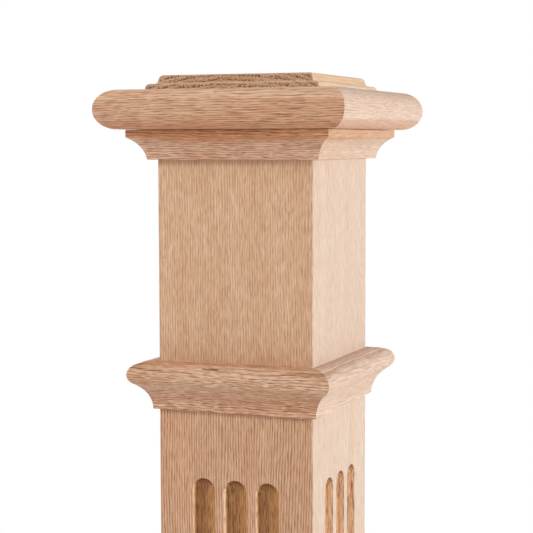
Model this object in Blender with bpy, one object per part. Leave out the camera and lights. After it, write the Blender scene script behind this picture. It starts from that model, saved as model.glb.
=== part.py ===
"""Fluted box newel post in red oak, the hollow square post at the end of a stair balustrade.

Four mitred boards make the shaft, with three stopped flutes in each face. A mitred cap with a
rounded nose and a moulded top plate closes it, a cove moulding runs under the cap, an ogee
moulding goes round the neck, and a plinth of four boards with a cove moulding on top goes round
the foot. The mouldings are let into shallow housings across the boards, so that they sit level.

Metres, +Z up. The origin is the middle of the foot, on the floor, and the front faces -Y.
"""

import math

import bmesh
import bpy
from mathutils import Matrix, Vector

MM = 0.001

# The post as a whole
POST_HEIGHT = 1219.2 * MM
SHAFT_WIDTH = 127.0 * MM
BOARD_THICKNESS = 19.0 * MM
JOINT_GAP = 0.3 * MM

# Top plate: a bead round its foot, a ledge, and a raised middle with a rounded edge
PLATE_OVERHANG = 7.0 * MM
PLATE_BEAD_HEIGHT = 4.4 * MM
PLATE_BEAD_RADIUS = 2.8 * MM
PLATE_LEDGE = 4.7 * MM
PLATE_RAISE = 6.8 * MM
PLATE_ROOT_RADIUS = 1.6 * MM
PLATE_EDGE_RADIUS = 2.0 * MM

# Cap: four mitred rails with a rounded nose, over the ends of the shaft boards
CAP_THICKNESS = 30.2 * MM
CAP_OVERHANG = 36.9 * MM
CAP_NOSE_RADIUS = 14.6 * MM

# Housings across the shaft boards, that the backs of the mouldings are let into
HOUSING_DEPTH = 1.0 * MM

# Cove moulding, used under the cap and, turned over, on top of the plinth.
# The projections of the mouldings are from the face of the shaft.
COVE_HEIGHT = 22.6 * MM
COVE_PROJECTION = 18.4 * MM
COVE_FILLET = 5.6 * MM
COVE_TOE = 6.2 * MM
COVE_RADIUS = 22.0 * MM

# Ogee moulding round the neck, a rounded nose over a hollow
NECK_HEIGHT = 38.0 * MM
NECK_PROJECTION = 19.2 * MM
NECK_LEDGE_FALL = 1.1 * MM
NECK_QUIRK = 0.7 * MM
NECK_NOSE_RADIUS = 8.5 * MM
NECK_HOLLOW_RADIUS = 24.0 * MM
NECK_TOE = 3.8 * MM
NECK_TOE_HEIGHT = 1.8 * MM

# Plain length of shaft between the cove moulding and the neck, where the handrail is fixed
HANDRAIL_ZONE = 155.3 * MM

# Flutes, routed with a round-nosed bit and stopped at both ends
FLUTE_COUNT = 3
FLUTE_WIDTH = 19.0 * MM
FLUTE_LAND = 7.4 * MM
FLUTE_DEPTH = 8.0 * MM
FLUTE_END_MARGIN = 52.6 * MM

# Plinth boards round the foot
PLINTH_HEIGHT = 203.2 * MM
PLINTH_THICKNESS = 19.0 * MM

# How finely the round stretches are divided, and where the neck's nose starts and ends
ARC_STEP_DEGREES = 9.0
FLUTE_SEGMENTS = 24
FLUTE_RINGS = 13
NECK_NOSE_START = 80.0
NECK_NOSE_END = -60.0

# Heights worked out from the stack, from the top down
PLATE_BOTTOM = POST_HEIGHT - PLATE_RAISE - PLATE_BEAD_HEIGHT
CAP_TOP = PLATE_BOTTOM - JOINT_GAP
CAP_BOTTOM = CAP_TOP - CAP_THICKNESS
SHAFT_TOP = CAP_BOTTOM - JOINT_GAP
NECK_TOP = SHAFT_TOP - COVE_HEIGHT - HANDRAIL_ZONE
NECK_BOTTOM = NECK_TOP - NECK_HEIGHT
BASE_COVE_TOP = PLINTH_HEIGHT + JOINT_GAP + COVE_HEIGHT
FLUTE_TOP = NECK_BOTTOM - FLUTE_END_MARGIN
FLUTE_BOTTOM = BASE_COVE_TOP + FLUTE_END_MARGIN

# Distances out from the middle of the post
SHAFT_FACE = SHAFT_WIDTH / 2
SHAFT_INSIDE = SHAFT_FACE - BOARD_THICKNESS
PLINTH_BACK = SHAFT_FACE + JOINT_GAP
MOULDING_BACK = JOINT_GAP - HOUSING_DEPTH

SIDES = {"front": 0.0, "right": 90.0, "back": 180.0, "left": 270.0}

# sRGB colours of the raw oak, read by eye
SHAFT_COLOUR = (205, 165, 133)
MOULDING_COLOUR = (197, 155, 125)
CAP_COLOUR = (196, 152, 122)
PLATE_COLOUR = (176, 136, 104)
RAW_OAK_ROUGHNESS = 0.62


def clear_scene():
    for obj in list(bpy.data.objects):
        bpy.data.objects.remove(obj)


def new_collection(name):
    collection = bpy.data.collections.new(name)
    bpy.context.scene.collection.children.link(collection)
    return collection


def linear(channel):
    """An sRGB channel from 0 to 255 as the linear value that a shader takes."""
    share = channel / 255
    return share / 12.92 if share <= 0.04045 else ((share + 0.055) / 1.055) ** 2.4


def oak(name, colour):
    material = bpy.data.materials.new(name)
    material.use_nodes = True
    shader = material.node_tree.nodes["Principled BSDF"]
    shader.inputs["Base Color"].default_value = (*[linear(c) for c in colour], 1.0)
    shader.inputs["Roughness"].default_value = RAW_OAK_ROUGHNESS
    shader.inputs["Metallic"].default_value = 0.0
    return material


def arc(centre, radius, start, end):
    """Points on an arc, both ends included. Angles are in degrees, 0 outwards and 90 up."""
    steps = max(2, math.ceil(abs(end - start) / ARC_STEP_DEGREES))
    angles = [math.radians(start + (end - start) * i / steps) for i in range(steps + 1)]
    return [
        (centre[0] + radius * math.cos(a), centre[1] + radius * math.sin(a)) for a in angles
    ]


def hollow_arc(start, end, radius):
    """Points on the arc of this radius from start down to end, hollowed into the wood."""
    first, last = Vector(start), Vector(end)
    chord = last - first
    rise = math.sqrt(radius**2 - (chord.length / 2) ** 2)
    outwards = Vector((-chord.y, chord.x)).normalized()
    centre = (first + last) / 2 + outwards * rise
    from_centre = [math.degrees(math.atan2(*(p - centre).yx)) % 360 for p in (first, last)]
    return arc(centre, radius, *from_centre)


def plinth_outline():
    """Section of a plain board: distance out from its back, and height from its top down."""
    return [
        (0, 0),
        (PLINTH_THICKNESS, 0),
        (PLINTH_THICKNESS, -PLINTH_HEIGHT),
        (0, -PLINTH_HEIGHT),
    ]


def shaft_outline():
    """Section of a shaft board, with a housing for each moulding across its outer face."""
    floor = BOARD_THICKNESS - HOUSING_DEPTH
    housings = [
        (SHAFT_TOP, SHAFT_TOP - COVE_HEIGHT - JOINT_GAP),
        (NECK_TOP + JOINT_GAP, NECK_BOTTOM - JOINT_GAP),
        (BASE_COVE_TOP + JOINT_GAP, PLINTH_HEIGHT),
    ]
    outside = []
    for top, bottom in housings:
        outside += [(BOARD_THICKNESS, top), (floor, top), (floor, bottom), (BOARD_THICKNESS, bottom)]
    outside = outside[1:] + [(BOARD_THICKNESS, 0)]
    return [(0, 0), *[(out, up - SHAFT_TOP) for out, up in outside], (0, -SHAFT_TOP)]


def cap_outline():
    """Section of a cap rail, square inside and rounded outside."""
    radius = min(CAP_NOSE_RADIUS, CAP_THICKNESS / 2)
    width = CAP_OVERHANG + BOARD_THICKNESS
    upper = arc((width - radius, -radius), radius, 90, 0)
    lower = arc((width - radius, radius - CAP_THICKNESS), radius, 0, -90)
    return [(0, 0), *upper, *lower, (0, -CAP_THICKNESS)]


def cove_outline():
    """Section of the cove moulding: a fillet above, and a hollow below it down to the toe."""
    hollow = hollow_arc((COVE_PROJECTION, -COVE_FILLET), (COVE_TOE, -COVE_HEIGHT), COVE_RADIUS)
    return [(MOULDING_BACK, 0), (COVE_PROJECTION, 0), *hollow, (MOULDING_BACK, -COVE_HEIGHT)]


def neck_outline():
    """Section of the neck moulding: a ledge, a rounded nose, and a hollow down to the toe."""
    nose_out = NECK_PROJECTION - NECK_NOSE_RADIUS
    nose_drop = NECK_LEDGE_FALL + NECK_QUIRK + NECK_NOSE_RADIUS
    nose = arc((nose_out, -nose_drop), NECK_NOSE_RADIUS, NECK_NOSE_START, NECK_NOSE_END)
    toe = (NECK_TOE, NECK_TOE_HEIGHT - NECK_HEIGHT)
    hollow = hollow_arc(nose[-1], toe, NECK_HOLLOW_RADIUS)[1:]
    ledge = [(MOULDING_BACK, 0), (0, 0), (nose_out, -NECK_LEDGE_FALL)]
    foot = [(NECK_TOE, -NECK_HEIGHT), (MOULDING_BACK, -NECK_HEIGHT)]
    return [*ledge, *nose, *hollow, *foot]


def turned_over(outline, height):
    """The same section upside down, still measured from its top."""
    return [(out, -height - up) for out, up in reversed(outline)]


def plate_outline():
    """Half section of the top plate, from the foot of its bead up to its top."""
    thickness = PLATE_BEAD_HEIGHT + PLATE_RAISE
    half = SHAFT_FACE + PLATE_OVERHANG
    bead_radius = min(PLATE_BEAD_RADIUS, PLATE_BEAD_HEIGHT)
    wall_out = half - bead_radius - PLATE_LEDGE
    root_radius = min(PLATE_ROOT_RADIUS, PLATE_LEDGE)
    edge_radius = min(PLATE_EDGE_RADIUS, PLATE_RAISE - root_radius)
    bead = arc((half - bead_radius, PLATE_BEAD_HEIGHT - bead_radius), bead_radius, 0, 90)
    root_centre = (wall_out + root_radius, PLATE_BEAD_HEIGHT + root_radius)
    root = arc(root_centre, root_radius, 270, 180)
    edge = arc((wall_out - edge_radius, thickness - edge_radius), edge_radius, 0, 90)
    return [(half, 0), *bead, *root, *edge]


def bar_mesh(name, outline, half_length):
    """A straight bar of this section along X, its outside towards -Y."""
    curve = bpy.data.curves.new(name, "CURVE")
    curve.dimensions = "2D"
    curve.fill_mode = "BOTH"
    curve.extrude = half_length
    spline = curve.splines.new("POLY")
    spline.points.add(len(outline) - 1)
    for point, (out, up) in zip(spline.points, outline):
        point.co = (out, up, 0, 1)
    spline.use_cyclic_u = True
    drawn = bpy.data.objects.new(name, curve)
    bpy.context.scene.collection.objects.link(drawn)
    graph = bpy.context.evaluated_depsgraph_get()
    mesh = bpy.data.meshes.new_from_object(drawn.evaluated_get(graph))
    bpy.data.objects.remove(drawn)
    bpy.data.curves.remove(curve)
    mesh.name = name
    out_to_front = Matrix(((0, 0, -1), (-1, 0, 0), (0, 1, 0))).to_4x4()
    mesh.transform(out_to_front)
    return mesh


def mitre(mesh, start):
    """Saws both ends at 45 degrees, for a section measured from this far out of the middle."""
    work = bmesh.new()
    work.from_mesh(mesh)
    bmesh.ops.remove_doubles(work, verts=work.verts, dist=JOINT_GAP / 100)
    bmesh.ops.translate(work, verts=work.verts, vec=(0, -start, 0))
    for end in (1, -1):
        saw = Vector((end, 1, 0)).normalized()
        bmesh.ops.bisect_plane(
            work,
            geom=[*work.verts, *work.edges, *work.faces],
            dist=JOINT_GAP / 100,
            plane_co=saw * -JOINT_GAP / 2,
            plane_no=saw,
            clear_outer=True,
        )
        bmesh.ops.holes_fill(work, edges=[e for e in work.edges if e.is_boundary])
    bmesh.ops.recalc_face_normals(work, faces=work.faces)
    work.to_mesh(mesh)
    work.free()


def mitred_frame(collection, name, outline, start, top, material):
    """Four mitred pieces round the post. The section is measured from start outwards."""
    reach = start + max(out for out, _ in outline)
    mesh = bar_mesh(name, outline, reach + JOINT_GAP)
    mitre(mesh, start)
    mesh.materials.append(material)
    mesh.shade_smooth()
    mesh.set_sharp_from_angle(angle=math.radians(2 * ARC_STEP_DEGREES))
    pieces = []
    for side, turn in SIDES.items():
        piece = bpy.data.objects.new(f"{name}_{side}", mesh)
        piece.location = (0, 0, top)
        piece.rotation_euler = (0, 0, math.radians(turn))
        collection.objects.link(piece)
        pieces.append(piece)
    return pieces


def flute_cutters(collection):
    """The path of a round-nosed bit for the flutes of one face, as one cutter for each side."""
    bit_radius = (FLUTE_WIDTH**2 / 4 + FLUTE_DEPTH**2) / (2 * FLUTE_DEPTH)
    axis_out = SHAFT_FACE + bit_radius - FLUTE_DEPTH
    straight = FLUTE_TOP - FLUTE_BOTTOM - FLUTE_WIDTH
    middle = (FLUTE_TOP + FLUTE_BOTTOM) / 2
    # An odd number of rings leaves none on the equator, where the ball is drawn out.
    ball_radius = bit_radius / math.cos(math.radians(90 / FLUTE_RINGS))
    work = bmesh.new()
    for i in range(FLUTE_COUNT):
        across = (i - (FLUTE_COUNT - 1) / 2) * (FLUTE_WIDTH + FLUTE_LAND)
        ball = bmesh.ops.create_uvsphere(
            work, u_segments=FLUTE_SEGMENTS, v_segments=FLUTE_RINGS, radius=ball_radius
        )["verts"]
        for vert in ball:
            vert.co.z += math.copysign(straight / 2, vert.co.z)
        bmesh.ops.translate(work, verts=ball, vec=(across, -axis_out, middle))
    mesh = bpy.data.meshes.new("flute_path")
    work.to_mesh(mesh)
    work.free()
    cutters = {}
    for side, turn in SIDES.items():
        cutter = bpy.data.objects.new(f"flute_path_{side}", mesh)
        cutter.rotation_euler = (0, 0, math.radians(turn))
        cutter.hide_render = True
        cutter.display_type = "WIRE"
        collection.objects.link(cutter)
        cutters[side] = cutter
    return cutters


def shaft_boards(collection, cutter_collection):
    """The four boards of the hollow shaft, each with its flutes routed."""
    material = oak("oak_shaft", SHAFT_COLOUR)
    boards = mitred_frame(
        collection, "shaft_board", shaft_outline(), SHAFT_INSIDE, SHAFT_TOP, material
    )
    cutters = flute_cutters(cutter_collection)
    for board, side in zip(boards, SIDES):
        routing = board.modifiers.new("flutes", "BOOLEAN")
        routing.operation = "DIFFERENCE"
        routing.solver = "EXACT"
        routing.object = cutters[side]
    return boards


def top_plate(collection):
    """The square plate on the cap: its outline is extruded up along the moulded edge's section."""
    (foot_half, _), *steps = plate_outline()
    work = bmesh.new()
    bmesh.ops.create_grid(work, x_segments=1, y_segments=1, size=foot_half)
    loop = list(work.edges)
    for half, up in steps:
        raised = bmesh.ops.extrude_edge_only(work, edges=loop)["geom"]
        loop = [part for part in raised if isinstance(part, bmesh.types.BMEdge)]
        for corner in {vert for edge in loop for vert in edge.verts}:
            corner.co = (math.copysign(half, corner.co.x), math.copysign(half, corner.co.y), up)
    bmesh.ops.holes_fill(work, edges=loop)
    bmesh.ops.recalc_face_normals(work, faces=work.faces)
    mesh = bpy.data.meshes.new("cap_top_plate")
    work.to_mesh(mesh)
    work.free()
    mesh.materials.append(oak("oak_top_plate", PLATE_COLOUR))
    plate = bpy.data.objects.new("cap_top_plate", mesh)
    plate.location = (0, 0, PLATE_BOTTOM)
    collection.objects.link(plate)
    return plate


def cap(collection):
    material = oak("oak_cap", CAP_COLOUR)
    return mitred_frame(
        collection, "cap_rail", cap_outline(), SHAFT_INSIDE, CAP_TOP, material
    )


def mouldings(collection):
    """The cove under the cap, the ogee round the neck and the cove on top of the plinth."""
    material = oak("oak_moulding", MOULDING_COLOUR)
    base_outline = turned_over(cove_outline(), COVE_HEIGHT)
    runs = [
        ("cove_moulding", cove_outline(), SHAFT_TOP),
        ("neck_moulding", neck_outline(), NECK_TOP),
        ("base_moulding", base_outline, BASE_COVE_TOP),
    ]
    pieces = []
    for name, outline, top in runs:
        pieces += mitred_frame(collection, name, outline, SHAFT_FACE, top, material)
    return pieces


def plinth(collection):
    material = oak("oak_plinth", SHAFT_COLOUR)
    return mitred_frame(
        collection, "plinth_board", plinth_outline(), PLINTH_BACK, PLINTH_HEIGHT, material
    )


def main():
    clear_scene()
    post = new_collection("box_newel_post")
    cutters = new_collection("cutters")
    foot = bpy.data.objects.new("post_foot", None)
    post.objects.link(foot)
    pieces = [
        *shaft_boards(post, cutters),
        *cap(post),
        top_plate(post),
        *mouldings(post),
        *plinth(post),
    ]
    for piece in pieces:
        piece.parent = foot


main()
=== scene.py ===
# %% [markdown]
# # A fluted box newel post in raw red oak
#
# A box newel is the hollow square post at the end of a stair balustrade. This one is made of four
# mitred boards with flutes routed into them, and it is dressed with mouldings: a cap with a
# rounded nose and a raised plate, a cove under the cap, an ogee round the neck and a plinth round
# the foot. Nothing is varnished yet, so the whole look is bare wood: which way the grain runs on
# each piece, how deep the profiles are, and how the light falls on them.
#
# The solid model of the post is loaded first. It gives every piece its place and size, and the
# finer pieces made here stand exactly where its solids stand.

# %% Load the solid model
import functools
import math

import bpy
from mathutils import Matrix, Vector


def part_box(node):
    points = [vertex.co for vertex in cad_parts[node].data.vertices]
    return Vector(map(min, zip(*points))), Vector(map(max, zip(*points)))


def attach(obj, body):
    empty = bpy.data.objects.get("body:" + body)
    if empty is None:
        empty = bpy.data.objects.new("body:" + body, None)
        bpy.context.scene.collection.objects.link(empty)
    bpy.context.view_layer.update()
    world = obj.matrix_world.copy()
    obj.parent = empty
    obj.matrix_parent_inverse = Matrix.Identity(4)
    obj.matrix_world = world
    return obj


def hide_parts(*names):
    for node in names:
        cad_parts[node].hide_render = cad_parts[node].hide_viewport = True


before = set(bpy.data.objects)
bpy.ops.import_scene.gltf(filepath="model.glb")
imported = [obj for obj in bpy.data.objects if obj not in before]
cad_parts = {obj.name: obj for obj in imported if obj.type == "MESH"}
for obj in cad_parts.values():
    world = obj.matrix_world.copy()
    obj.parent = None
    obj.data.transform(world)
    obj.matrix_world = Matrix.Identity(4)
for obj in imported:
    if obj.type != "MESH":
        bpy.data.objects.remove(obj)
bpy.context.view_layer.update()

MM = 0.001

# %% [markdown]
# ## Sizes from the frame
#
# A profile is only right in its place: the cove has to fill the space between the cap and the
# shaft, and the flutes have to stop short of the mouldings. So the heights and overhangs are read
# from the solid model, and only the radii of the profiles are written down here.

# %% Read the places of the pieces


def level(name, end):
    """The height of a node's bottom (end 0) or top (end 1)."""
    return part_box(name)[end][2]


def reach(name):
    """How far the front piece of a frame stands out from the middle of the post."""
    return -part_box(name)[0][1]


shaft_top = level("shaft_board_front", 1)
shaft_face = reach("shaft_board_front")
shaft_inside = -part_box("shaft_board_front")[1][1]
cap_top = level("cap_rail_front", 1)
cap_bottom = level("cap_rail_front", 0)
neck_top = level("neck_moulding_front", 1)
neck_bottom = level("neck_moulding_front", 0)
plinth_top = level("plinth_board_front", 1)
print(f"shaft {2000 * shaft_face:.1f} mm wide, {1000 * shaft_top:.1f} mm high")
print(f"neck moulding from {1000 * neck_bottom:.1f} to {1000 * neck_top:.1f} mm")

# %% [markdown]
# ## The camera
#
# The photograph looks at the post's upper third from a little to the right and just below the top
# of the cap. A long lens from about 1.2 m gives the gentle perspective: the cap's lines close in
# towards the right, and the underside of the nose stays hidden.

# %% Place the camera
PHOTO_SIDE = 533
FOCAL_PIXELS = 1528.0
SENSOR = 36.0
CAMERA_TURN = math.radians(21.67)
CAMERA_TILT = math.radians(-4.62)
CAMERA_LEAN = math.radians(0.12)
CAMERA_OUT = (0.4495, -1.128)
CAMERA_BELOW_CAP = 40.6 * MM

bpy.ops.object.select_all(action="DESELECT")
bpy.ops.object.camera_add(
    location=(*CAMERA_OUT, cap_top - CAMERA_BELOW_CAP),
    rotation=(math.radians(90) + CAMERA_TILT, CAMERA_LEAN, CAMERA_TURN),
)
camera = bpy.context.object
camera.name = "camera"
camera.data.sensor_width = SENSOR
camera.data.lens = SENSOR * FOCAL_PIXELS / PHOTO_SIDE
bpy.context.scene.camera = camera
print(f"lens {camera.data.lens:.1f} mm")

# %% [markdown]
# ## Colours and nodes
#
# Two small helpers come first. Colours are picked on a screen as sRGB, but a shader reckons with
# linear light, so one function turns the one into the other. Every material is a tree of nodes,
# and adding a node by hand always takes the same three moves: choose its kind, set its options
# and plug in its inputs. The other function does those three.

# %% Helpers for colours and nodes


def linear(hex_colour):
    """An sRGB colour such as "#D6AC8A" as the linear values that a shader takes."""
    channels = [int(hex_colour[i : i + 2], 16) / 255 for i in (1, 3, 5)]
    return (
        *[c / 12.92 if c <= 0.04045 else ((c + 0.055) / 1.055) ** 2.4 for c in channels],
        1.0,
    )


# Where a Mix node takes its factor and its two colours, and where it gives the mixed colour
FACTOR, FIRST, SECOND = 0, 6, 7
MIXED = 2


def node(tree, kind, inputs, **settings):
    """Adds a shader node. An input is a value, or the node or socket that it comes from."""
    new = tree.nodes.new("ShaderNode" + kind)
    for name, value in settings.items():
        setattr(new, name, value)
    for name, value in inputs.items():
        if isinstance(value, bpy.types.Node):
            value = value.outputs[MIXED if value.bl_idname == "ShaderNodeMix" else 0]
        if isinstance(value, bpy.types.NodeSocket):
            tree.links.new(value, new.inputs[name])
        else:
            new.inputs[name].default_value = value
    return new


print("white is", linear("#FFFFFF"))

# %% [markdown]
# ## Light
#
# The light is a plain studio set. A white room lights everything evenly. The camera sees the room
# pure white, but its light is weaker than that, or it would drown the lamps.

# %% Paint the room white
ROOM_STRENGTH = 0.51

world = bpy.data.worlds.new("white_studio")
bpy.context.scene.world = world
world.use_nodes = True
room = world.node_tree
rays = node(room, "LightPath", {})
seen = {"Value": rays.outputs["Is Camera Ray"], "To Min": ROOM_STRENGTH, "To Max": 1.0}
strength = node(room, "MapRange", seen)
backdrop = room.nodes["Background"]
backdrop.inputs["Color"].default_value = linear("#FFFFFF")
room.links.new(strength.outputs["Result"], backdrop.inputs["Strength"])
bpy.context.scene.view_settings.view_transform = "Standard"
print("the room lights with a strength of", ROOM_STRENGTH)

# %% [markdown]
# A small cool lamp far to the right bleaches the right faces and only grazes the front, so that it
# picks out the left lips of the flutes as thin bright lines. A wide lamp high on the left throws
# soft shadows into the flutes and under the mouldings. A low one behind lights the back, and it
# stays below the neck's ledge so that it leaves no glint there.

# %% Hang the lamps
LAMPS = {
    # name: (place, size in metres, power in watts, colour)
    "key_right": ((3.25, -0.54, 1.35), 0.4, 96.0, (0.71, 0.86, 1.0)),
    "left_high": ((-2.0, -1.78, 2.5), 1.2, 39.0, (1.0, 1.0, 1.0)),
    "behind": ((-1.6, 2.6, 0.55), 0.8, 45.0, (0.86, 0.94, 1.0)),
}
AIM = Vector((0, 0, 1.05))

for name, (place, size, power, colour) in LAMPS.items():
    bpy.ops.object.light_add(type="AREA", location=place)
    lamp = bpy.context.object
    lamp.name = name
    lamp.data.shape = "DISK"
    lamp.data.size = size
    lamp.data.energy = power
    lamp.data.color = colour
    lamp.rotation_euler = (AIM - Vector(place)).to_track_quat("-Z", "Y").to_euler()
print("lamps:", ", ".join(LAMPS))

# %% [markdown]
# ## Red oak
#
# Red oak is a ring-porous wood. Each spring the tree grows a band of wide open pores, which show
# as short dark dashes on a planed face and as a stipple on end grain, and the denser summer wood
# between them is paler. A texture painted on the surface would have to be unwrapped round every
# moulding. A solid texture needs none of that: the wood is worked out at each point in space, as
# if the piece had been cut from a plank, and end grain comes by itself where the grain runs out.
#
# The wood is raw and therefore matt: no varnish fills its pores, and it has no gloss. How it was
# worked changes its look. A planed face is smooth and even. The insides of the flutes are painted
# a
# deeper brown: partly the burnish a router leaves, partly painted shade in the hollow. A
# moulding's cutter runs up and down through the growth rings, so its curves show bolder and wavier
# lines than a flat board does.
#
# How a plank shows its grain is a short list of numbers, and only those that differ from an
# ordinary plank's have to be given.

# %% Describe how a plank shows its grain


def figure(rings, pores, **others):
    """How a plank shows its grain.

    Rings, pores, fibres, bands and flecks are how strongly each of them shows. Dark is the share
    of a ring that is spring wood, broken is how far dashes break it up, ripple is how far the
    lines waver, and stretch draws them out along the grain.
    """
    usual = {
        "fibres": 0.7,
        "bands": 0.35,
        "flecks": 0.0,
        "ring_width": 2.1 * MM,
        "dark": 0.6,
        "broken": 1.0,
        "ripple": 1 * MM,
        "stretch": 1.0,
    }
    return usual | {"rings": rings, "pores": pores} | others


print("an ordinary plank:", figure(rings=1.0, pores=1.0))

# %% [markdown]
# ### Marks along the grain
#
# Nearly everything in wood is longer than it is wide: dashes, pores, fibres and bands. They can
# all be made from one noise texture that is squeezed across the grain and drawn out along it. A
# Map Range node then keeps only the part of the noise that is to show, with soft edges.

# %% Helpers for marks along the grain
BUSY, SIMPLE, PLAIN = 2.0, 1.0, 0.0  # how much smaller detail a noise has in its large shapes


def grain_noise(tree, vector, size, stretch=1.0, detail=SIMPLE):
    """A noise whose shapes have this size, (width, length), with the grain along Z."""
    width, length = size
    scale = (1 / width, 1 / width, 1 / (length * stretch))
    squeezed = node(tree, "Mapping", {"Vector": vector, "Scale": scale})
    return node(tree, "TexNoise", {"Vector": squeezed, "Scale": 1.0, "Detail": detail})


def marks(tree, vector, size, shown, faint=0.0, full=1.0, **others):
    """Marks that go from faint to full between the two values of a noise in shown."""
    noise = grain_noise(tree, vector, size, **others)
    ends = {"From Min": shown[0], "From Max": shown[1], "To Min": faint, "To Max": full}
    return node(tree, "MapRange", {"Value": noise, **ends})


print("noise detail:", BUSY, SIMPLE, PLAIN)

# %% [markdown]
# ### Growth rings
#
# A tree grows in rings round its heart, and a board cuts through them, so the lines on its face
# are rings seen from the side. The grain is turned to Z first, whichever way the piece lies. Then
# the wood is swayed in slow waves and small ripples, because no tree grows straight. The distance
# from the heart, counted in ring widths, gives the rings: the part after the decimal point starts
# again at nought in each of them. Each is dark where it starts, in its spring wood, and dashes
# break the dark up.

# %% Lay out the growth rings
TO_UPRIGHT = {
    "x": (0, math.radians(-90), 0),
    "y": (math.radians(90), 0, 0),
    "z": (0, 0, 0),
}
WAVE = (45 * MM, 160 * MM)
WANDER = 9 * MM
RIPPLE = (7 * MM, 22 * MM)
DASH = (0.85 * MM, 11 * MM)  # a real pore is 0.3 mm wide, so a dash stands for a few in a row
DASH_SHOWN = (0.4, 0.58)
DARKEST = 1 / 6  # the share of the spring wood that is fully dark, before it fades


def growth_rings(tree, place, grain, heart, look):
    """The upright wood, the swayed wood, its rings from 0 to 1 and its broken spring wood."""
    add = functools.partial(node, tree)
    turn = {"Vector": place.outputs["Object"], "Rotation": TO_UPRIGHT[grain]}
    upright = add("Mapping", turn)
    waves = grain_noise(tree, upright, WAVE, detail=BUSY).outputs["Color"]
    sway = {0: waves, 1: (WANDER, WANDER, 0), 2: upright}
    swayed = add("VectorMath", sway, operation="MULTIPLY_ADD")
    ripples = grain_noise(tree, upright, RIPPLE).outputs["Color"]
    waver = {0: ripples, 1: (look["ripple"], look["ripple"], 0), 2: swayed}
    wood = add("VectorMath", waver, operation="MULTIPLY_ADD")

    flattened = {0: wood, 1: (1, 1, 0), 2: (-heart[0], -heart[1], 0)}
    from_heart = add("VectorMath", flattened, operation="MULTIPLY_ADD")
    distance = add("VectorMath", {0: from_heart}, operation="LENGTH").outputs["Value"]
    count = add("Math", {0: distance, 1: look["ring_width"]}, operation="DIVIDE")
    rings = add("Math", {0: count}, operation="FRACT")

    fading = {"From Min": look["dark"] * DARKEST, "From Max": look["dark"]}
    dark = add("MapRange", {"Value": rings, **fading, "To Min": 1.0, "To Max": 0.0})
    unbroken = 1.0 - look["broken"]
    dashes = marks(tree, wood, DASH, DASH_SHOWN, unbroken, stretch=look["stretch"])
    spring = add("Math", {0: dark, 1: dashes}, operation="MULTIPLY")
    return upright, wood, rings, spring


print("dashes of", [round(1000 * size, 2) for size in DASH], "mm")

# %% [markdown]
# ### Pores and end grain
#
# Pores are thin dark lines, most of them in the spring wood. Where a surface faces along the grain
# they are cut across, and there the lines give way to a bold stipple. Such a surface is found by
# comparing its normal with the direction of the grain.

# %% Open the pores
ALONG = {"x": (1, 0, 0), "y": (0, 1, 0), "z": (0, 0, 1)}
PORE = (0.6 * MM, 7 * MM)  # twice as wide as real ones, which are too fine to show
PORE_SHOWN = (0.52, 0.7)
IN_SUMMER = 0.5  # how strongly the pores show in summer wood
STIPPLE = (1.0 * MM, 1.0 * MM)  # the pores again, cut across, and three times too wide to show
STIPPLE_SHOWN = (0.43, 0.55)
STIPPLE_FADES = {"From Min": 0.2, "From Max": 0.8, "To Min": 1.0, "To Max": 0.4}
# End grain starts where a surface faces along the grain by this much, and is full by that much
END_GRAIN = {"From Min": 0.3, "From Max": 0.9}


def open_pores(tree, place, grain, look, wood, rings, spring):
    """The pores as lines or as a stipple, and where the surface is end grain."""
    add = functools.partial(node, tree)
    lines = marks(tree, wood, PORE, PORE_SHOWN, stretch=look["stretch"], detail=PLAIN)
    gathered = add("MapRange", {"Value": spring, "To Min": IN_SUMMER, "To Max": 1.0})
    lines = add("Math", {0: lines, 1: gathered}, operation="MULTIPLY")

    facing = {0: place.outputs["Normal"], 1: ALONG[grain]}
    facing = add("VectorMath", facing, operation="DOT_PRODUCT").outputs["Value"]
    facing = add("Math", {0: facing}, operation="ABSOLUTE")
    end_grain = add("MapRange", {"Value": facing, **END_GRAIN})
    stipple = marks(tree, wood, STIPPLE, STIPPLE_SHOWN)
    in_rings = add("MapRange", {"Value": rings, **STIPPLE_FADES})
    stipple = add("Math", {0: stipple, 1: in_rings}, operation="MULTIPLY")

    long_grain = add("MapRange", {"Value": end_grain, "To Min": look["pores"], "To Max": 0.0})
    lines = add("Math", {0: lines, 1: long_grain}, operation="MULTIPLY")
    stipple = add("Math", {0: stipple, 1: end_grain}, operation="MULTIPLY")
    return add("Math", {0: lines, 1: stipple}, operation="ADD"), end_grain


print("stipple of", round(1000 * STIPPLE[0], 2), "mm on end grain")

# %% [markdown]
# ### Darker and paler stretches
#
# No plank has one colour from end to end. A zone is a stretch of height, or of reach from the
# middle of the post, whose wood is multiplied with another colour. The second kind is what the
# flutes need: it paints them darker where the router went deep, as shade in the hollow. The edge
# of a zone in height follows the bands of the wood, so that it never looks ruled.

# %% Tint the zones
ZONE_EDGE = 2 * MM


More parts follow.
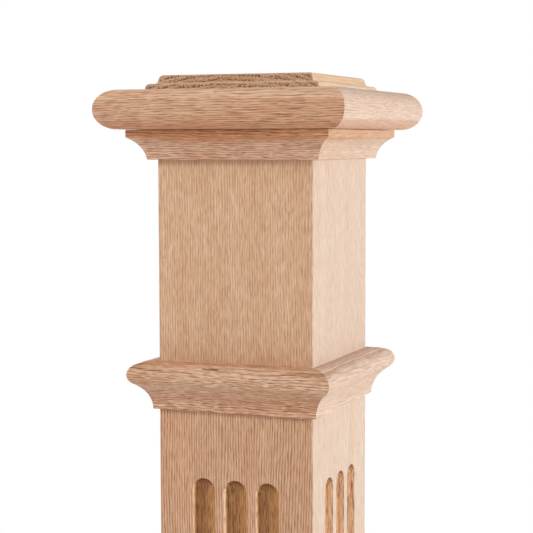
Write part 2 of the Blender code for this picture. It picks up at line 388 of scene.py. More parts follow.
def tint_zones(tree, place, colour, bands, spring, zones):
    """Multiplies the zones' colours into the colour of the wood."""
    add = functools.partial(node, tree)
    parts = add("SeparateXYZ", {0: place.outputs["Object"]}).outputs
    ragged = add("MapRange", {"Value": bands, "To Min": -ZONE_EDGE, "To Max": ZONE_EDGE})
    x_away = add("Math", {0: parts["X"]}, operation="ABSOLUTE")
    y_away = add("Math", {0: parts["Y"]}, operation="ABSOLUTE")
    measures = {
        "height": add("Math", {0: parts["Z"], 1: ragged}, operation="ADD"),
        "reach": add("Math", {0: x_away, 1: y_away}, operation="MAXIMUM"),
    }
    for measure, low, high, tint, *only in zones:
        inside = 1.0
        for edge, before, after in ((low, 0.0, 1.0), (high, 1.0, 0.0)):
            ends = {"From Min": edge - ZONE_EDGE / 2, "From Max": edge + ZONE_EDGE / 2}
            ends |= {"To Min": before, "To Max": after}
            side = add("MapRange", {"Value": measures[measure], **ends})
            inside = add("Math", {0: side, 1: inside}, operation="MULTIPLY")
        if only == ["spring"]:
            inside = add("Math", {0: inside, 1: spring}, operation="MULTIPLY")
        mix = {FACTOR: inside, FIRST: colour, SECOND: linear(tint)}
        colour = add("Mix", mix, data_type="RGBA", blend_type="MULTIPLY")
    return colour


print("zones fade over", round(1000 * ZONE_EDGE, 1), "mm")

# %% [markdown]
# ### The whole plank
#
# The colours go on from the large to the small: warm bands in the summer wood, fine fibres, the
# rings' spring wood, pores, and the pale flecks where a ray of the tree just meets the surface.
# End grain drinks the light, so it is darkened as a whole. Tiny pin knots come last.
#
# Fibres stand up a little and pores are pits, so both go into a Bump node as well. They are less
# than a tenth of a millimetre high, too little for geometry. Roughness 0.7 is bare cut wood,
# which scatters the light, and 1.5 is the refractive index of its cellulose.

# %% Make red oak
FIBRE = (0.5 * MM, 10 * MM)  # real fibres are far too fine to show, so these are bundles of them
FIBRE_SHOWN = (0.3, 0.7)
BAND = (14 * MM, 120 * MM)
BAND_SHOWN = (0.4, 0.66)
FLECK = (1.6 * MM, 5 * MM)
FLECK_SHOWN = (0.74, 0.78)
PIN_SPACING = 18 * MM
PIN_RADIUS = 0.7 * MM
PIN_STRENGTH = 0.6
FIBRE_HEIGHT = 0.4  # as a share of a pore's depth
RELIEF_DEPTH = 0.12 * MM
RELIEF_STRENGTH = 0.4
RAW_WOOD_ROUGHNESS = 0.7
CELLULOSE_IOR = 1.5


def red_oak(name, grain, heart, tones, look, zones=()):
    """Raw red oak whose grain runs along one axis, with its rings round the heart.

    Tones are the colours of its parts. A zone is ("height" or "reach", low, high, colour), with
    "spring" added where only spring wood has it.
    """
    material = bpy.data.materials.new(name)
    material.use_nodes = True
    tree = material.node_tree
    add = functools.partial(node, tree)
    place = add("TexCoord", {})
    upright, wood, rings, spring = growth_rings(tree, place, grain, heart, look)
    pores, end_grain = open_pores(tree, place, grain, look, wood, rings, spring)
    fibres = marks(tree, wood, FIBRE, FIBRE_SHOWN, stretch=look["stretch"])
    bands = marks(tree, wood, BAND, BAND_SHOWN, stretch=look["stretch"])
    flecks = marks(tree, wood, FLECK, FLECK_SHOWN, full=look["flecks"], detail=PLAIN)

    colour = tones["summer"]
    for pattern, shows, tone in (
        (bands, look["bands"], "warm"),
        (fibres, look["fibres"], "spring"),
        (spring, look["rings"], "spring"),
        (pores, 1.0, "pore"),
        (flecks, 1.0, "fleck"),
    ):
        factor = add("Math", {0: pattern, 1: shows}, operation="MULTIPLY")
        mix = {FACTOR: factor, FIRST: colour, SECOND: tones[tone]}
        colour = add("Mix", mix, data_type="RGBA")
    mix = {FACTOR: end_grain, FIRST: colour, SECOND: tones["end"]}
    colour = add("Mix", mix, data_type="RGBA", blend_type="MULTIPLY")
    if zones:
        colour = tint_zones(tree, place, colour, bands, spring, zones)

    pins = add("TexVoronoi", {"Vector": upright, "Scale": 1 / PIN_SPACING})
    radius = PIN_RADIUS / PIN_SPACING
    fading = {"From Min": radius / 2, "From Max": radius, "To Min": PIN_STRENGTH, "To Max": 0.0}
    pins = add("MapRange", {"Value": pins.outputs["Distance"], **fading})
    mix = {FACTOR: pins, FIRST: colour, SECOND: tones["pore"]}
    colour = add("Mix", mix, data_type="RGBA")

    raised = add("Math", {0: fibres, 1: FIBRE_HEIGHT}, operation="MULTIPLY")
    relief = add("Math", {0: raised, 1: pores}, operation="SUBTRACT")
    depth = {"Height": relief, "Strength": RELIEF_STRENGTH, "Distance": RELIEF_DEPTH}
    bump = add("Bump", depth)
    shader = tree.nodes["Principled BSDF"]
    tree.links.new(colour.outputs[MIXED], shader.inputs["Base Color"])
    tree.links.new(bump.outputs["Normal"], shader.inputs["Normal"])
    shader.inputs["Roughness"].default_value = RAW_WOOD_ROUGHNESS
    shader.inputs["IOR"].default_value = CELLULOSE_IOR
    return material


print("pin knots about", round(1000 * PIN_SPACING), "mm apart")

# %% [markdown]
# ## The planks of this post
#
# Each plank has colours of its own. The ones on the right are paler copies with their colours
# closer together: painted light, where the strong side light washes out the right faces. The ones
# on the left and at the back are cut from the same wood as the front.

# %% Choose the colours


def plank(summer, spring, warm, pore, end="#C0A98C", fleck="#F3DCC6"):
    """The colours of one plank, of which that of end grain is multiplied in."""
    names = ("summer", "spring", "warm", "pore", "end", "fleck")
    return dict(zip(names, map(linear, (summer, spring, warm, pore, end, fleck))))


FACE = plank("#EAC5A2", "#BC875E", "#D9A37A", "#804927")
FACE_LIT_SIDE = plank("#E1C3AA", "#C49D81", "#D6AE8D", "#94694A")
CAP = plank("#FDDBBC", "#AE7145", "#E9AF82", "#7C4824")
CAP_LIT_SIDE = plank("#E4C5AD", "#C3967C", "#D8AE8C", "#946141")
COVE = plank("#F3C6A6", "#955A38", "#DA9D78", "#7B4120")
COVE_LIT_SIDE = plank("#E2C0A5", "#B98A6C", "#D2A27C", "#8A583A")
NECK = plank("#F7CEAC", "#8D512D", "#D89A69", "#6F3617")
NECK_LIT_SIDE = plank("#E5C6AD", "#BB8D6E", "#D5A982", "#8B5A3B")
ROUTED = plank("#F9CE9F", "#B47F52", "#DDA06C", "#5E381C")
ROUTED_LIT_SIDE = plank("#F4C49A", "#AC774E", "#D79D64", "#5E381C")
PLATE = plank("#F2CEA7", "#CD9B72", "#DFAA76", "#572B12", "#E9DDD6")
print("a plank has", len(PLATE), "colours")

# %% [markdown]
# The zones come from looking closely. The boards are a shade darker below the neck moulding, most
# of all in their spring wood. Inside the flutes, deeper than their lips, the wood is painted
# darker as shade in the hollow. A warm streak runs along the cove's fillet and the neck's hollow,
# where each moulding was cut from another depth of its plank. On the cap's nose the foot is
# painted darker and warmer, as shade on its underside and a warmer tone of the wood, and the
# middle a little darker, so that the top stays paler as a painted sheen.

# %% Place the zones
lower_end = neck_bottom + 15 * MM
lip_depth = shaft_face - 2.5 * MM
# The cap's foot is painted darker as shade under its nose, and its middle a little darker, so that
# its top stays paler as a painted sheen
cap_foot_shade = (cap_bottom - 3 * MM, cap_bottom + 6 * MM)
cap_shade_below_sheen = (cap_bottom + 6 * MM, cap_top - 8 * MM)
fillet_streak = (shaft_top - 6.5 * MM, shaft_top + 1 * MM)
hollow_streak = (neck_bottom - 3 * MM, neck_bottom + 14 * MM)

LOWER_BOARD = (
    ("height", 0.0, lower_end, "#F8F2F0"),
    ("height", 0.0, lower_end, "#E0C4B1", "spring"),
)
# Painted shade: the flutes are darker deeper than 2.5 mm below the face, where the hollow lies in
# shade
ROUTED_DEEP_SHADE = (("reach", 0.0, lip_depth, "#D9C3A6"),)
ROUTED_DEEP_SHADE_LIT_SIDE = (("reach", 0.0, lip_depth, "#F4E4CE"),)
CAP_SHEEN_AND_SHADE = (("height", *cap_foot_shade, "#EAD3C2"), ("height", *cap_shade_below_sheen, "#ECDFD5"))
CAP_FOOT_SHADE_LIT_SIDE = (("height", *cap_foot_shade, "#F5E4D8"),)
COVE_STREAKS = (("height", *fillet_streak, "#FFF0D4"),)
COVE_STREAKS_LIT_SIDE = (("height", *fillet_streak, "#FBEBD6"),)
NECK_STREAKS = (("height", *hollow_streak, "#F9F1F0"),)
print(f"the boards are darker below {1000 * lower_end:.1f} mm")

# %% [markdown]
# The boards of the shaft and the plinth were planed, which leaves thin even lines. The heart of
# the tree is half a metre to one side of each board, so its rings run nearly straight up. The
# plank that a flute was routed in shows the same rings, with more open pores.

# %% Cut the planed and the routed oak
FAR_TO_THE_LEFT, FAR_TO_THE_BACK = (-0.5, 0.05), (0.05, 0.5)
PLANED = figure(0.9, 0.4, bands=0.25, broken=0.65, ripple=1.2 * MM)
# The right side's figures are fainter copies: painted light, as the side light washes the grain
# out there
PLANED_LIT_SIDE = figure(0.5, 0.4)
BARED = figure(1.0, 1.0, dark=0.4)
BARED_LIT_SIDE = figure(0.9, 1.0)

WOODS = ((FACE, PLANED, LOWER_BOARD), (ROUTED, BARED, ROUTED_DEEP_SHADE))
LIT_SIDE_WOODS = ((FACE_LIT_SIDE, PLANED_LIT_SIDE), (ROUTED_LIT_SIDE, BARED_LIT_SIDE, ROUTED_DEEP_SHADE_LIT_SIDE))

planed, routed = {}, {}
for side, heart, (outside, inside) in (
    ("front", FAR_TO_THE_LEFT, WOODS),
    ("right", FAR_TO_THE_BACK, LIT_SIDE_WOODS),
    ("left", FAR_TO_THE_BACK, WOODS),
):
    planed[side] = red_oak(f"red_oak_planed_{side}", "z", heart, *outside)
    routed[side] = red_oak(f"red_oak_routed_{side}", "z", heart, *inside)
print("planed and routed oak for", ", ".join(planed))

# %% [markdown]
# A moulding's grain runs along it, so the pieces in front run along X and those at the sides along
# Y. Its rings are narrow and wavy, because the cutter crossed them at a slant. The cap was cut
# from the straightest plank and the neck from the liveliest. The top plate lies with its grain
# from front to back, with wide quiet rings.

# %% Cut the moulded oak
FINE_RINGS = {"ring_width": 1.8 * MM, "dark": 0.45, "ripple": 1.8 * MM, "flecks": 0.3}
MOULDED = figure(0.95, 0.8, fibres=0.6, bands=0.6, broken=0.8, **FINE_RINGS)
# A fainter copy for the right side: painted light, as the side light washes the grain out there
MOULDED_LIT_SIDE = figure(0.7, 0.3, stretch=2.4, **FINE_RINGS)
PLATE_FIGURE = figure(0.5, 0.2, ring_width=3.6 * MM, stretch=3.0)
UNDER_THE_PLATE = (0.0, -1.0)

moulded = {}
# The heart of each plank is given as how far it is out of the middle of the post, and how high.
# The number after it says how long the plank's lines are.
# The cap's zones are painted sheen and shade; the cove's and the neck's streaks are tones of the
# wood
for name, toned, pale, heart, stretch, streaks_and_painted_light, lit_side_streaks_and_shade in (
    ("cap", CAP, CAP_LIT_SIDE, (0.04, 0.95), 1.5, CAP_SHEEN_AND_SHADE, CAP_FOOT_SHADE_LIT_SIDE),
    ("cove", COVE, COVE_LIT_SIDE, (-0.05, 0.95), 1.1, COVE_STREAKS, COVE_STREAKS_LIT_SIDE),
    ("neck", NECK, NECK_LIT_SIDE, (0.0, 0.86), 0.9, NECK_STREAKS, ()),
):
    along_x = ("x", (-heart[1], -heart[0]))
    along_y = ("y", (heart[0], -heart[1]))
    look = MOULDED | {"stretch": stretch}
    moulded[name] = {
        "front": red_oak(f"red_oak_{name}_front", *along_x, toned, look, streaks_and_painted_light),
        "right": red_oak(f"red_oak_{name}_right", *along_y, pale, MOULDED_LIT_SIDE, lit_side_streaks_and_shade),
        "left": red_oak(f"red_oak_{name}_left", *along_y, toned, look, streaks_and_painted_light),
    }
plate_oak = red_oak("red_oak_plate_along_y", "y", UNDER_THE_PLATE, PLATE, PLATE_FIGURE)
print("materials:", len(bpy.data.materials))

# %% [markdown]
# ## Drawing a section
#
# A joiner makes a moulding as a long stick of one section and then saws its ends at 45 degrees.
# The same order works here. The section is drawn in edit mode from a single vertex: extrude makes
# the straight stretches and spin the round ones. Then it is filled and extruded into a stick.

# %% Helpers for drawing sections
ARC_STEP = 5.0
TOUCHING = 0.01 * MM


def select_only(piece):
    """Selects one piece and makes it the active one, as a click on it does."""
    bpy.ops.object.select_all(action="DESELECT")
    piece.select_set(True)
    bpy.context.view_layer.objects.active = piece


def draw_section(name, start, moves):
    """Draws a closed section across the post, in the plane x = 0, as an outline of vertices.

    Places are (out, up): out of the middle of the post towards the front, and up from the floor.
    A move is a place to go to in a straight line, or (centre, turn) for an arc, in degrees.
    """
    bpy.ops.object.select_all(action="DESELECT")
    bpy.ops.mesh.primitive_plane_add(size=MM)
    piece = bpy.context.object
    piece.name = name
    bpy.ops.object.mode_set(mode="EDIT")
    bpy.ops.mesh.select_mode(type="VERT")
    bpy.ops.mesh.select_all(action="SELECT")
    bpy.ops.mesh.merge(type="CENTER")
    bpy.ops.transform.translate(value=(0, -start[0], start[1]))
    here = Vector(start)
    for move in moves:
        if isinstance(move[0], tuple):
            centre, turn = Vector(move[0]), math.radians(move[1])
            bpy.ops.mesh.spin(
                steps=max(2, round(abs(move[1]) / ARC_STEP)),
                angle=turn,
                center=(0, -centre.x, centre.y),
                axis=(1, 0, 0),
            )
            arm = here - centre
            turned_x = arm.x * math.cos(turn) - arm.y * math.sin(turn)
            turned_y = arm.x * math.sin(turn) + arm.y * math.cos(turn)
            here = centre + Vector((turned_x, turned_y))
        else:
            step = Vector(move) - here
            bpy.ops.mesh.extrude_vertices_move(
                TRANSFORM_OT_translate={"value": (0, -step.x, step.y)}
            )
            here = Vector(move)
    bpy.ops.mesh.select_all(action="SELECT")
    bpy.ops.mesh.remove_doubles(threshold=TOUCHING)
    bpy.ops.mesh.edge_face_add()
    bpy.ops.object.mode_set(mode="OBJECT")
    return piece


def extrude_stick(piece, length):
    """Pulls a drawn section out sideways into a stick of this length."""
    select_only(piece)
    bpy.ops.object.mode_set(mode="EDIT")
    bpy.ops.mesh.select_all(action="SELECT")
    bpy.ops.transform.translate(value=(-length / 2, 0, 0))
    bpy.ops.mesh.extrude_region_move(TRANSFORM_OT_translate={"value": (length, 0, 0)})
    bpy.ops.mesh.select_all(action="SELECT")
    bpy.ops.mesh.normals_make_consistent(inside=False)
    bpy.ops.object.mode_set(mode="OBJECT")


print("arcs turn", ARC_STEP, "degrees a step")

# %% [markdown]
# ## Easing and sawing
#
# Sandpaper takes the sharpness off the edges of a stick, and a Bevel modifier does the same for
# all edges sharper than an angle. Then bisect saws the mitres. Every stick starts a little too
# long, so that both cuts go through solid wood. Two mitred ends don't quite touch: the saw leaves
# half of a hair-thin joint on each side.

# %% Helpers for easing and sawing
SPARE = 4 * MM
HALF_JOINT = 0.05 * MM
EASED_STEPS = 2
SHARP = math.radians(40)


def ease_edges(piece, width):
    """Rounds off every sharp edge of a piece."""
    select_only(piece)
    bpy.ops.object.modifier_add(type="BEVEL")
    eased = piece.modifiers[-1]
    eased.width = width
    eased.segments = EASED_STEPS
    eased.limit_method = "ANGLE"
    eased.angle_limit = SHARP
    bpy.ops.object.modifier_apply(modifier=eased.name)


def saw(piece, point, normal):
    """Saws off what lies beyond this plane and closes the cut."""
    select_only(piece)
    bpy.ops.object.mode_set(mode="EDIT")
    bpy.ops.mesh.select_all(action="SELECT")
    bpy.ops.mesh.bisect(plane_co=point, plane_no=normal, use_fill=True, clear_outer=True)
    bpy.ops.object.mode_set(mode="OBJECT")


def saw_mitres(piece):
    """Saws both ends of a front piece at 45 degrees, a hair short of the corner planes."""
    for end in (1, -1):
        normal = Vector((end, 1, 0)).normalized()
        saw(piece, tuple(normal * -HALF_JOINT), tuple(normal))


print(f"mitre joints are {2000 * HALF_JOINT:.1f} mm wide")

# %% [markdown]
# ## Going round the post
#
# The four sides are alike, so the front piece is made and copied, and each copy, with its own
# mesh, is turned a quarter further. The grain must turn with it: pieces in front and behind run
# along X, those at the sides along Y. The copies are smoothed by angle, so that arcs look round
# and arrises stay crisp, and each takes the place of the solid with its name.

# %% Helpers for copies and for handing over
SIDES = {"front": 0, "right": 90, "back": 180, "left": 270}
SMOOTH_BELOW = math.radians(30)


def finish_piece(piece, node_name, materials):
    """Smooths a finished piece, gives it its materials and puts it in the place of its solid."""
    select_only(piece)
    bpy.ops.object.shade_smooth_by_angle(angle=SMOOTH_BELOW)
    for index, material in enumerate(materials):
        if index < len(piece.data.materials):
            piece.data.materials[index] = material
        else:
            piece.data.materials.append(material)
    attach(piece, "root")
    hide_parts(node_name)


def copy_round(front, name, node_name, finishes):
    """Copies the front piece to the other three sides and hands all four over."""
    for side, turn in SIDES.items():
        piece = front
        if turn:
            select_only(front)
            bpy.ops.object.duplicate(linked=False)
            piece = bpy.context.object
            piece.rotation_euler = (0, 0, math.radians(turn))
            bpy.ops.object.transform_apply(rotation=True)
        piece.name = f"{name}_{side}"
        materials = [finish["front" if side == "back" else side] for finish in finishes]
        finish_piece(piece, f"{node_name}_{side}", materials)
    print(name, "faces:", len(front.data.polygons))


print("sides:", ", ".join(SIDES))

# %% [markdown]
# ## The shaft boards
#
# Each board is a plain plank, mitred along both long edges so that no joint shows on the faces.
# It is cut from a cube, a little too wide for now.

# %% Cut a plank for the shaft
bpy.ops.object.select_all(action="DESELECT")
bpy.ops.mesh.primitive_cube_add(
    size=1,
    location=(0, -(shaft_face + shaft_inside) / 2, shaft_top / 2),
    scale=(2 * shaft_face + SPARE, shaft_face - shaft_inside, shaft_top),
)
board = bpy.context.object
bpy.ops.object.transform_apply(location=True, scale=True)
board.data.materials.append(planed["front"])
print(f"plank {1000 * (shaft_face - shaft_inside):.1f} mm thick")

# %% [markdown]
# The flutes are cut by a round-nosed router bit that is plunged in, run along and lifted out, so
# each one ends in half a ball. The cutter is made like the path of that bit: a ball, whose upper
# half is pulled up to where the bit stopped and whose lower half is pulled down. Its poles point
# at the face, so the rim of the cut is an even circle.

# %% Follow the path of the router bit
FLUTES = 3
FLUTE_WIDTH = 19.0 * MM
FLUTE_DEPTH = 8.0 * MM
FLUTE_LAND = 7.4 * MM
FLUTE_MARGIN = 52.6 * MM
BALL_SEGMENTS = 40
BALL_RINGS = 24


def edit_where(piece, kind, test):
    """Opens a piece in edit mode with only those vertices or edges selected that pass a test."""
    select_only(piece)
    bpy.ops.object.mode_set(mode="EDIT")
    bpy.ops.mesh.select_mode(type=kind)
    bpy.ops.mesh.select_all(action="DESELECT")
    bpy.ops.object.mode_set(mode="OBJECT")
    for element in {"VERT": piece.data.vertices, "EDGE": piece.data.edges}[kind]:
        element.select = test(element)
    bpy.ops.object.mode_set(mode="EDIT")


flute_top = neck_bottom - FLUTE_MARGIN
flute_bottom = level("base_moulding_front", 1) + FLUTE_MARGIN
flute_middle = (flute_top + flute_bottom) / 2
flute_length = flute_top - flute_bottom
pull = (flute_length - FLUTE_WIDTH) / 2
# The circle through both lips and the bottom of the groove
bit_radius = (FLUTE_WIDTH**2 / 4 + FLUTE_DEPTH**2) / (2 * FLUTE_DEPTH)
# The ball is a little larger and turned by half a segment, so that its flats lie on that circle
half_segment = math.pi / BALL_SEGMENTS

cutters = []
for i in range(FLUTES):
    across = (i - (FLUTES - 1) / 2) * (FLUTE_WIDTH + FLUTE_LAND)
    bpy.ops.mesh.primitive_uv_sphere_add(
        segments=BALL_SEGMENTS,
        ring_count=BALL_RINGS,
        radius=bit_radius / math.cos(half_segment),
        location=(across, -(shaft_face + bit_radius - FLUTE_DEPTH), flute_middle),
        rotation=(math.radians(90), half_segment, 0),
    )
    ball = bpy.context.object
    bpy.ops.object.transform_apply(location=True, rotation=True)
    for direction in (1, -1):
        edit_where(ball, "VERT", lambda v: (v.co.z - flute_middle) * direction > TOUCHING)
        bpy.ops.transform.translate(value=(0, 0, pull * direction))
        bpy.ops.object.mode_set(mode="OBJECT")
    ball.data.materials.append(routed["front"])
    cutters.append(ball)
bpy.ops.object.select_all(action="DESELECT")
for ball in cutters:
    ball.select_set(True)
bpy.ops.object.join()
bit_path = bpy.context.object
print(f"bit radius {1000 * bit_radius:.2f} mm, flutes {1000 * flute_length:.1f} mm long")

# %% [markdown]
# A Boolean cuts all three at once, and the cut faces take the cutter's own material, which is
# painted darker: partly the burnish a bit leaves, partly painted shade in the hollow. The lips are
# where the two materials meet. They are softened with a small bevel, as one pass of sandpaper
# does.

# %% Cut the board and soften the lips of the flutes
FLUTE_LIP = 0.25 * MM
LIP_STEPS = 3
ROUND = 0.5  # a bevel's profile when it is part of a circle

select_only(board)
bpy.ops.object.modifier_add(type="BOOLEAN")
routing = board.modifiers[-1]
routing.operation = "DIFFERENCE"
routing.solver = "EXACT"
routing.material_mode = "TRANSFER"
routing.object = bit_path
bpy.ops.object.modifier_apply(modifier=routing.name)
bpy.data.objects.remove(bit_path)

materials_at = {}
for face in board.data.polygons:
    for key in face.edge_keys:
        materials_at.setdefault(key, set()).add(face.material_index)
lip_edges = {edge.index for edge in board.data.edges if len(materials_at[edge.key]) > 1}
edit_where(board, "EDGE", lambda edge: edge.index in lip_edges)
bpy.ops.mesh.bevel(offset=FLUTE_LIP, segments=LIP_STEPS, profile=ROUND, material=0)
bpy.ops.object.mode_set(mode="OBJECT")
print("lip edges softened:", len(lip_edges))

# %% [markdown]
# The long edges are now sawn at 45 degrees, and the sharp corner of the post is eased: a plane
# square to each mitre takes off the tip that the hand would find.

# %% Mitre the boards and set them round the post
ARRIS = 0.5 * MM


def ease_corners(piece, face):
    """Planes the two outer corners of a mitred board, whose face is this far out."""
    for end in (1, -1):
        outwards = Vector((end, -1, 0)).normalized()
        tip = Vector((end * face, -face, 0)) - outwards * ARRIS
        saw(piece, tuple(tip), tuple(outwards))


saw_mitres(board)
ease_corners(board, shaft_face)
copy_round(board, "shaft", "shaft_board", [planed, routed])

# %% [markdown]
# ## The cap
#
# The cap is a picture frame of four thick rails, mitred at the corners, whose outer edges were
# rounded over above and below into one full nose. Its section is a rectangle with two quarter
# circles, which meet in a narrow flat at the very front.

# %% Draw the cap rail
NOSE_RADIUS = 14.6 * MM

cap_reach = reach("cap_rail_front")
nose_centre = cap_reach - NOSE_RADIUS
cap_rail = draw_section(
    "cap",
    (shaft_inside, cap_top),
    [
        (nose_centre, cap_top),
        ((nose_centre, cap_top - NOSE_RADIUS), -90),
        (cap_reach, cap_bottom + NOSE_RADIUS),
        ((nose_centre, cap_bottom + NOSE_RADIUS), -90),
        (shaft_inside, cap_bottom),
        (shaft_inside, cap_top),
    ],
)
extrude_stick(cap_rail, 2 * cap_reach + SPARE)
saw_mitres(cap_rail)
copy_round(cap_rail, "cap", "cap_rail", [moulded["cap"]])

# %% [markdown]
# ## The cove mouldings
#
# A cove is a hollow quarter round under a flat fillet. Here the arc is a little flatter than a
# quarter circle, and it ends in a thin toe against the shaft. The same moulding is used twice: as
# it is under the cap, and upside down on top of the plinth, where its fillet faces the floor.

# %% Draw the coves
COVE_RADIUS = 22.0 * MM
COVE_FILLET = 5.6 * MM
COVE_TOE = 6.2 * MM
EASED = 0.35 * MM


def circle_through(first, last, radius):
    """The centre of the arc from first to last that hollows a section, and how far it turns."""
    chord = last - first
    rise = math.sqrt(radius**2 - (chord.length / 2) ** 2)
    centre = (first + last) / 2 + Vector((-chord.y, chord.x)).normalized() * rise
    turn = 2 * math.degrees(math.asin(chord.length / 2 / radius))
    return tuple(centre), turn


def cove_section(name, fillet_end, toe_end):
    """A cove between two heights; its fillet is at one end and its toe at the other."""
    down = -1 if fillet_end > toe_end else 1
    cove_reach = reach("cove_moulding_front")
    fillet = Vector((cove_reach, fillet_end + down * COVE_FILLET))
    toe = Vector((shaft_face + COVE_TOE, toe_end))
    if down < 0:
        centre, turn = circle_through(fillet, toe, COVE_RADIUS)
        arc = (centre, turn)
    else:
        centre, turn = circle_through(toe, fillet, COVE_RADIUS)
        arc = (centre, -turn)
    moves = [
        (cove_reach, fillet_end),
        tuple(fillet),
        arc,
        (shaft_face, toe_end),
        (shaft_face, fillet_end),
    ]
    piece = draw_section(name, (shaft_face, fillet_end), moves)
    extrude_stick(piece, 2 * cove_reach + SPARE)
    ease_edges(piece, EASED)
    saw_mitres(piece)
    return piece


cove = cove_section("cove", level("cove_moulding_front", 1), level("cove_moulding_front", 0))
copy_round(cove, "cove", "cove_moulding", [moulded["cove"]])
base_ends = (level("base_moulding_front", 0), level("base_moulding_front", 1))
base_cove = cove_section("base_cove", *base_ends)
copy_round(base_cove, "base_cove", "base_moulding", [moulded["cove"]])

# %% [markdown]
# ## The neck moulding
#
# An ogee is a curve that turns twice: a full nose above runs into a hollow below. The flat ledge
# on top ends in a small step down to the nose, which catches the side light as a thin line.

# %% Draw the neck moulding
NECK_NOSE_RADIUS = 8.5 * MM
NECK_LEDGE_FALL = 1.1 * MM
NECK_QUIRK = 0.7 * MM
NECK_HOLLOW_RADIUS = 24.0 * MM
NECK_TOE = 3.8 * MM
NECK_TOE_HEIGHT = 1.8 * MM
NECK_NOSE_START = 90.0
NECK_NOSE_END = -60.0

neck_reach = reach("neck_moulding_front")
nose = Vector(
    (
        neck_reach - NECK_NOSE_RADIUS,
        neck_top - NECK_LEDGE_FALL - NECK_QUIRK - NECK_NOSE_RADIUS,
    )
)


def on_nose(degrees):
    """The point of the nose in this direction from its centre, 0 outwards and 90 up."""
    angle = math.radians(degrees)
    return nose + NECK_NOSE_RADIUS * Vector((math.cos(angle), math.sin(angle)))


toe_top = Vector((shaft_face + NECK_TOE, neck_bottom + NECK_TOE_HEIGHT))
hollow_centre, hollow_turn = circle_through(on_nose(NECK_NOSE_END), toe_top, NECK_HOLLOW_RADIUS)
neck = draw_section(
    "neck",
    (shaft_face, neck_top),
    [
        (nose.x, neck_top - NECK_LEDGE_FALL),
        tuple(on_nose(NECK_NOSE_START)),
        (tuple(nose), NECK_NOSE_END - NECK_NOSE_START),
        (hollow_centre, hollow_turn),
        (toe_top.x, neck_bottom),
        (shaft_face, neck_bottom),
        (shaft_face, neck_top),
    ],
)
extrude_stick(neck, 2 * neck_reach + SPARE)
ease_edges(neck, EASED)
saw_mitres(neck)
copy_round(neck, "neck", "neck_moulding", [moulded["neck"]])

# %% [markdown]
# ## The plinth
#
# The plinth boards are plain planks, mitred like the shaft's. The cove above hides their tops.

# %% Saw the plinth boards
plinth_reach = reach("plinth_board_front")
bpy.ops.object.select_all(action="DESELECT")
bpy.ops.mesh.primitive_cube_add(
    size=1,
    location=(0, -(plinth_reach + shaft_face) / 2, plinth_top / 2),
    scale=(2 * plinth_reach + SPARE, plinth_reach - shaft_face, plinth_top),
)
plinth_board = bpy.context.object
bpy.ops.object.transform_apply(location=True, scale=True)
ease_edges(plinth_board, EASED)
saw_mitres(plinth_board)
ease_corners(plinth_board, plinth_reach)
copy_round(plinth_board, "plinth", "plinth_board", [planed])

# %% [markdown]
# ## The top plate
#
# A square board closes the hollow cap. Its edge was moulded all round: a low bead at the foot, a
# ledge, a small hollow and a raised middle with a rounded edge. Because it is one board and not a
# frame, its front edge is end grain and its right edge is long grain, and the two look quite
# different. It is raised from a flat square: extrude lifts the rim and resize draws it in, again
# and again round each curve.

# %% Raise the top plate
PLATE_BEAD_HEIGHT = 4.4 * MM
PLATE_BEAD_RADIUS = 2.8 * MM
PLATE_BEAD_RISE = 4.2 * MM
PLATE_LEDGE = 4.7 * MM
PLATE_ROOT_RADIUS = 2.4 * MM
PLATE_EDGE_RADIUS = 3.4 * MM
PLATE_LEAN = 0.4 * MM  # the wall of the raised middle leans in by this much
PLATE_ARC_STEP = 15.0


def rim_arc(centre_half, centre_up, radius, start, end, rise=None):
    """Half widths and heights of the rim along an arc, 0 outwards and 90 up, in degrees.

    The radius is the one sideways, and rise is the one upwards where the arc isn't round.
    """
    count = round(abs(end - start) / PLATE_ARC_STEP)
    turns = [math.radians(start + (end - start) * i / count) for i in range(count + 1)]
    rise = rise or radius
    return [
        (centre_half + radius * math.cos(turn), centre_up + rise * math.sin(turn))
        for turn in turns
    ]


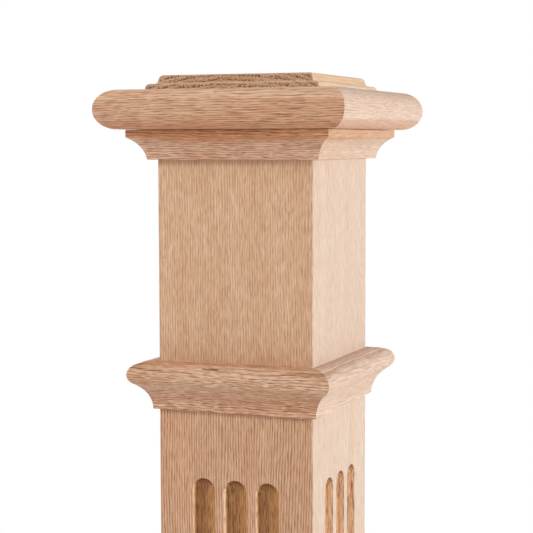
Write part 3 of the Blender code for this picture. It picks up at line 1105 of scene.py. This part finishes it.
plate_half = reach("cap_top_plate")
plate_foot = level("cap_top_plate", 0)
plate_top = level("cap_top_plate", 1)
bead_half = plate_half - PLATE_BEAD_RADIUS
wall_half = bead_half - PLATE_LEDGE
ledge_up = plate_foot + PLATE_BEAD_HEIGHT
root_half = wall_half + PLATE_ROOT_RADIUS
edge_half = wall_half - PLATE_LEAN - PLATE_EDGE_RADIUS
rim = [
    *rim_arc(
        bead_half, ledge_up - PLATE_BEAD_RISE, PLATE_BEAD_RADIUS, 0, 90, PLATE_BEAD_RISE
    ),
    *rim_arc(root_half, ledge_up + PLATE_ROOT_RADIUS, PLATE_ROOT_RADIUS, 270, 195),
    *rim_arc(edge_half, plate_top - PLATE_EDGE_RADIUS, PLATE_EDGE_RADIUS, 15, 90),
]

bpy.ops.object.select_all(action="DESELECT")
bpy.ops.mesh.primitive_plane_add(size=2 * plate_half, location=(0, 0, plate_foot))
plate = bpy.context.object
plate.name = "top_plate"
bpy.ops.object.transform_apply(location=True)
bpy.ops.object.mode_set(mode="EDIT")
bpy.ops.mesh.select_all(action="SELECT")
here = (plate_half, plate_foot)
for half, up in rim:
    bpy.ops.mesh.extrude_region_move(TRANSFORM_OT_translate={"value": (0, 0, up - here[1])})
    drawn_in = half / here[0]
    bpy.ops.transform.resize(value=(drawn_in, drawn_in, 1), center_override=(0, 0, up))
    here = (half, up)
bpy.ops.mesh.select_all(action="SELECT")
bpy.ops.mesh.normals_make_consistent(inside=False)
bpy.ops.object.mode_set(mode="OBJECT")
finish_piece(plate, "cap_top_plate", [plate_oak])
print("plate faces:", len(plate.data.polygons))

# %% [markdown]
# ## The floor
#
# A pale disc in matt paint, which scatters light evenly and shows no reflection of the post. It is
# a stage and no part of the post, and the camera looks over it.

# %% Lay the floor
FLOOR_RADIUS = 3.0
FLOOR_EDGES = 128
MATT_PAINT_ROUGHNESS = 0.8

bpy.ops.object.select_all(action="DESELECT")
bpy.ops.mesh.primitive_circle_add(vertices=FLOOR_EDGES, radius=FLOOR_RADIUS, fill_type="NGON")
floor = bpy.context.object
floor.name = "floor"
paint = bpy.data.materials.new("matt_white_floor_paint")
paint.use_nodes = True
coat = paint.node_tree.nodes["Principled BSDF"]
coat.inputs["Base Color"].default_value = linear("#F4F2EF")
coat.inputs["Roughness"].default_value = MATT_PAINT_ROUGHNESS
floor.data.materials.append(paint)
print(f"floor {2 * FLOOR_RADIUS:.0f} m across")
